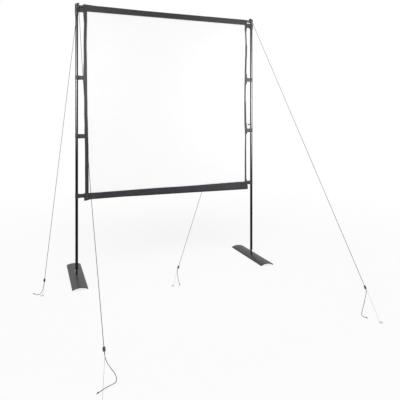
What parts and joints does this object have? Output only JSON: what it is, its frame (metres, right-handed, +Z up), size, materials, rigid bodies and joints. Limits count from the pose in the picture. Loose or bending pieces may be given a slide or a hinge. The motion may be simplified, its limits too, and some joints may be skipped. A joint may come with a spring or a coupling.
{
  "type": "projection screen with stand",
  "caption": "Free-standing white projection screen laced between sectional poles on steel plates, with guy lines to the floor.",
  "frame": {"origin": "on the floor, midway between the two poles", "axes": "+X along the screen to the viewer's right, +Y away from the viewer through the cloth, +Z up"},
  "size_m": [2.0307, 1.9925, 2.204],
  "materials": {
    "plate_paint": "satin black powder coat",
    "pole_paint": "gloss black paint",
    "bare_steel": "bright plated steel",
    "black_plastic": "moulded black plastic, satin",
    "white_cloth": "matt white projection cloth",
    "black_cloth": "charcoal woven polyester",
    "webbing": "charcoal ribbed webbing",
    "guy_rope": "dark grey braided cord",
    "tether_cord": "thin white cord"
  },
  "bodies": {
    "left_base": {"left_base_plate": "plate_paint", "left_base_stud": "pole_paint", "left_foot_pin": "bare_steel"},
    "frame": {"left_foot_bush": "black_plastic", "left_pole_section_1": "pole_paint", "left_pole_section_2": "pole_paint", "left_pole_section_3": "pole_paint", "left_pole_section_4": "pole_paint", "left_pole_section_5": "pole_paint", "left_corner_fitting": "black_plastic", "left_eye_ring": "pole_paint", "left_side_hem": "black_cloth", "left_top_strap": "webbing", "left_upper_strap": "webbing", "left_lower_strap": "webbing", "left_bottom_strap": "webbing", "right_foot_bush": "black_plastic", "right_pole_section_1": "pole_paint", "right_pole_section_2": "pole_paint", "right_pole_section_3": "pole_paint", "right_pole_section_4": "pole_paint", "right_pole_section_5": "pole_paint", "right_corner_fitting": "black_plastic", "right_eye_ring": "pole_paint", "right_side_hem": "black_cloth", "right_top_strap": "webbing", "right_upper_strap": "webbing", "right_lower_strap": "webbing", "right_bottom_strap": "webbing", "top_bar_left": "pole_paint", "top_bar_middle": "pole_paint", "top_bar_right": "pole_paint", "bottom_bar_left": "pole_paint", "bottom_bar_middle": "pole_paint", "bottom_bar_right": "pole_paint", "bottom_bar_caps": "black_plastic", "top_sleeve": "black_cloth", "bottom_sleeve": "black_cloth", "screen_cloth": "white_cloth", "left_side_guy_line": "guy_rope", "left_side_tether": "tether_cord", "left_side_ground_ring": "bare_steel", "left_front_guy_line": "guy_rope", "left_front_tether": "tether_cord", "left_front_ground_ring": "bare_steel", "right_front_guy_line": "guy_rope", "right_front_tether": "tether_cord", "right_front_ground_ring": "bare_steel", "right_rear_guy_line": "guy_rope", "right_rear_tether": "tether_cord", "right_rear_ground_ring": "bare_steel"},
    "left_screw": {"left_thumb_screw": "black_plastic"},
    "right_base": {"right_base_plate": "plate_paint", "right_base_stud": "pole_paint", "right_foot_pin": "bare_steel"},
    "right_screw": {"right_thumb_screw": "black_plastic"},
    "left_side_runner_body": {"left_side_runner": "black_plastic"},
    "left_front_runner_body": {"left_front_runner": "black_plastic"},
    "right_front_runner_body": {"right_front_runner": "black_plastic"},
    "right_rear_runner_body": {"right_rear_runner": "black_plastic"}
  },
  "joints": [
    {"name": "left_base_swivel", "type": "hinge", "parent": "frame", "child": "left_base", "pos_m": [-0.7865, 0, 0], "axis": [0, 0, 1], "continuous": true},
    {"name": "left_screw_turn", "type": "hinge", "parent": "frame", "child": "left_screw", "pos_m": [-0.7865, 0, 1.223], "axis": [0, 1, 0], "continuous": true},
    {"name": "right_base_swivel", "type": "hinge", "parent": "frame", "child": "right_base", "pos_m": [0.7865, 0, 0], "axis": [0, 0, 1], "continuous": true},
    {"name": "right_screw_turn", "type": "hinge", "parent": "frame", "child": "right_screw", "pos_m": [0.7865, 0, 1.223], "axis": [-1, 0, 0], "continuous": true},
    {"name": "left_side_runner_slide", "type": "slide", "parent": "frame", "child": "left_side_runner_body", "axis": [0.1218, 0.1281, 0.9843], "range_m": [0, 0.25]},
    {"name": "left_front_runner_slide", "type": "slide", "parent": "frame", "child": "left_front_runner_body", "axis": [0.0059, 0.6508, 0.7593], "range_m": [0, 0.25]},
    {"name": "right_front_runner_slide", "type": "slide", "parent": "frame", "child": "right_front_runner_body", "axis": [-0.0518, 0.5566, 0.8291], "range_m": [0, 0.25]},
    {"name": "right_rear_runner_slide", "type": "slide", "parent": "frame", "child": "right_rear_runner_body", "axis": [0.4741, 0.5346, 0.6996], "range_m": [0, 0.25]}
  ]
}
